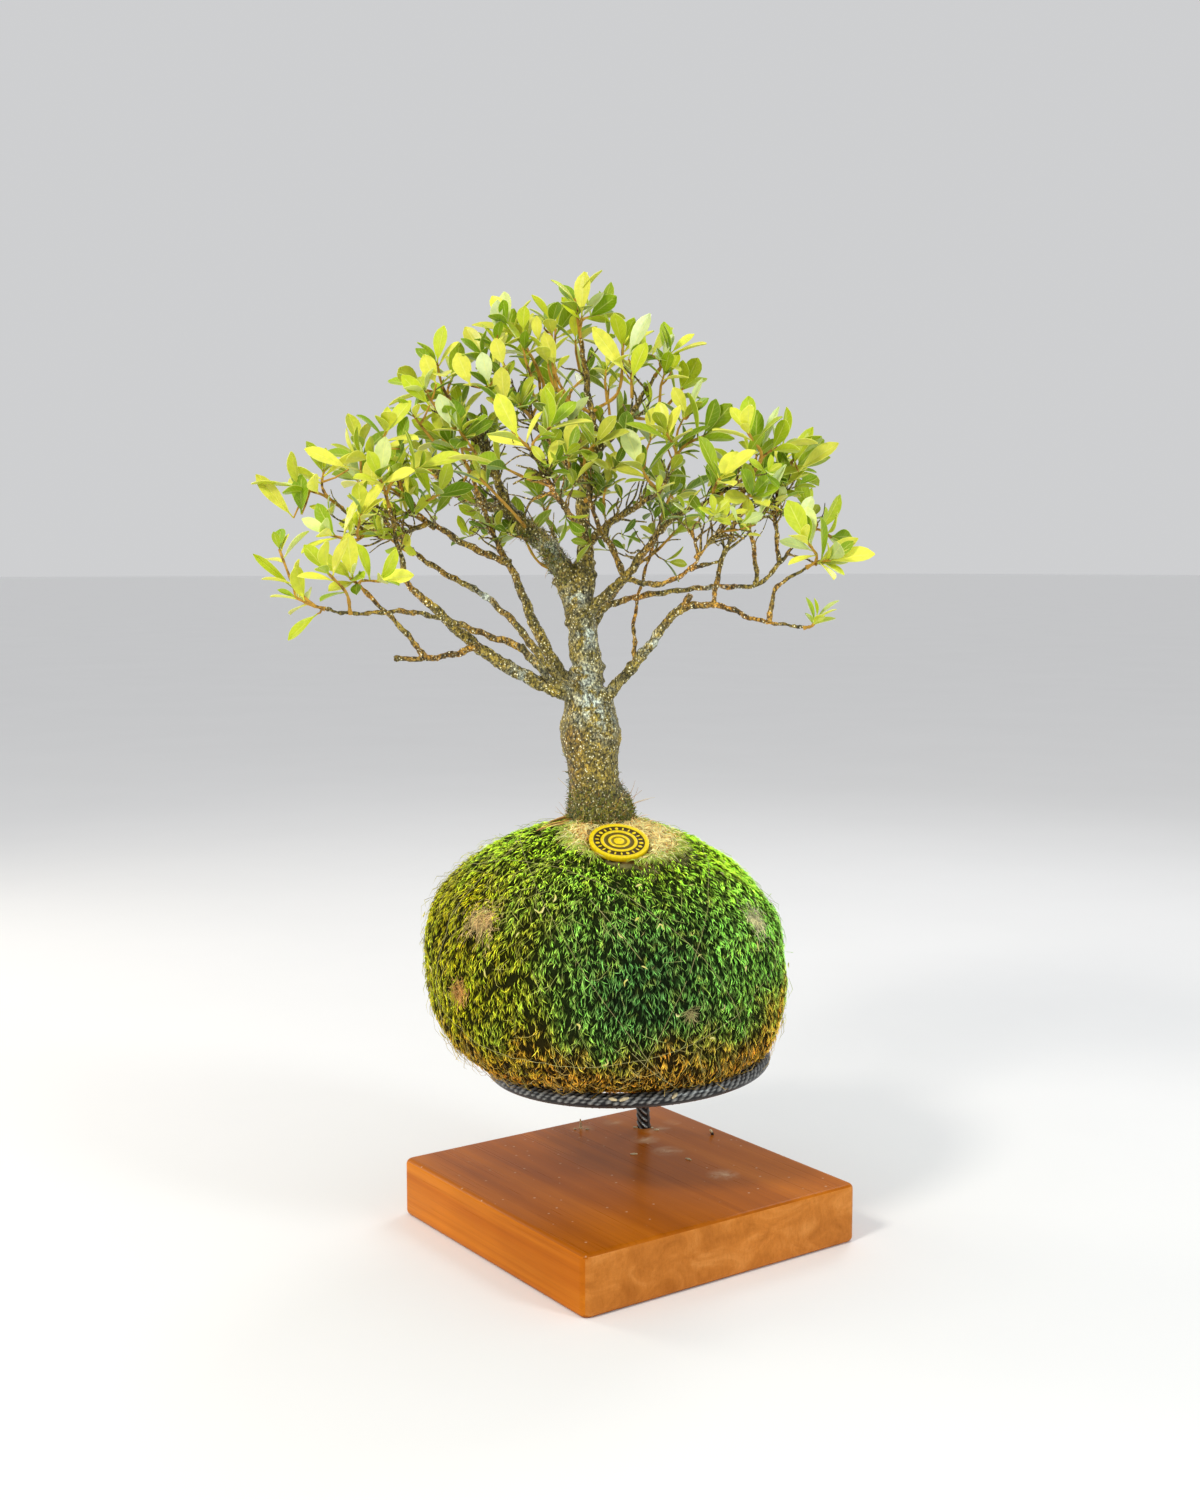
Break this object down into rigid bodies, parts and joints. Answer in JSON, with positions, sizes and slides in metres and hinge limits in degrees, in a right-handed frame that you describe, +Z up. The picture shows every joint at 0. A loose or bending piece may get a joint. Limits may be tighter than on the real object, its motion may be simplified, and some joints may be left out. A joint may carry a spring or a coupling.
{
  "type": "kokedama moss ball plant",
  "caption": "Small broad-leaved tree growing out of a flattened moss ball that sits on a ribbed-bar ring and post over a square wooden block.",
  "frame": {"origin": "centre of the wooden block's underside, on the surface it stands on", "axes": "+Z up through the plant; X and Y along the sides of the square block; the picture looks from -X -Y"},
  "size_m": [0.3412, 0.3066, 0.579],
  "materials": {
    "block": "satin",
    "bar": "satin",
    "soil": "matte",
    "moss": "matte",
    "tag": "satin",
    "bark": "matte",
    "leaf": "satin"
  },
  "bodies": {
    "root": {"base_block": "block", "stand_post": "bar", "stand_ring": "bar", "soil_ball": "soil", "moss_cover": "moss", "round_tag": "tag", "tree_wood": "bark", "leaf_spray_far_left": "leaf", "leaf_spray_far_left_low": "leaf", "leaf_spray_left_elbow": "leaf", "leaf_spray_left_shelf": "leaf", "leaf_spray_left_outer_top": "leaf", "leaf_spray_left_back_top": "leaf", "leaf_spray_left_back_low": "leaf", "leaf_spray_left_front": "leaf", "leaf_spray_left_low": "leaf", "leaf_spray_left_inner": "leaf", "leaf_spray_left_heart": "leaf", "leaf_spray_limb_top": "leaf", "leaf_spray_limb_side": "leaf", "leaf_spray_limb_end": "leaf", "leaf_spray_crown_left": "leaf", "leaf_spray_crown_left_low": "leaf", "leaf_spray_crown_upper_left": "leaf", "leaf_spray_crown_top": "leaf", "leaf_spray_crown_top_left": "leaf", "leaf_spray_crown_top_right": "leaf", "leaf_spray_crown_mid": "leaf", "leaf_spray_crown_mid_right": "leaf", "leaf_spray_crown_right": "leaf", "leaf_spray_crown_right_low": "leaf", "leaf_spray_shoulder": "leaf", "leaf_spray_shoulder_low": "leaf", "leaf_spray_fork_right": "leaf", "leaf_spray_fork_right_low": "leaf", "leaf_spray_fork_back": "leaf", "leaf_spray_right_rise": "leaf", "leaf_spray_right_crook": "leaf", "leaf_spray_right_end": "leaf", "leaf_spray_right_end_rise": "leaf", "leaf_spray_right_tip": "leaf", "leaf_spray_right_low": "leaf", "leaf_spray_slender_tip": "leaf", "leaf_spray_back_low": "leaf", "leaf_spray_back_low_side": "leaf", "leaf_spray_back_right": "leaf", "leaf_spray_back_right_side": "leaf", "leaf_spray_back_left": "leaf", "leaf_spray_back_left_side": "leaf", "leaf_spray_back_high": "leaf", "leaf_spray_back_high_side": "leaf", "leaf_spray_front_high": "leaf", "leaf_spray_front_high_side": "leaf"}
  },
  "joints": []
}
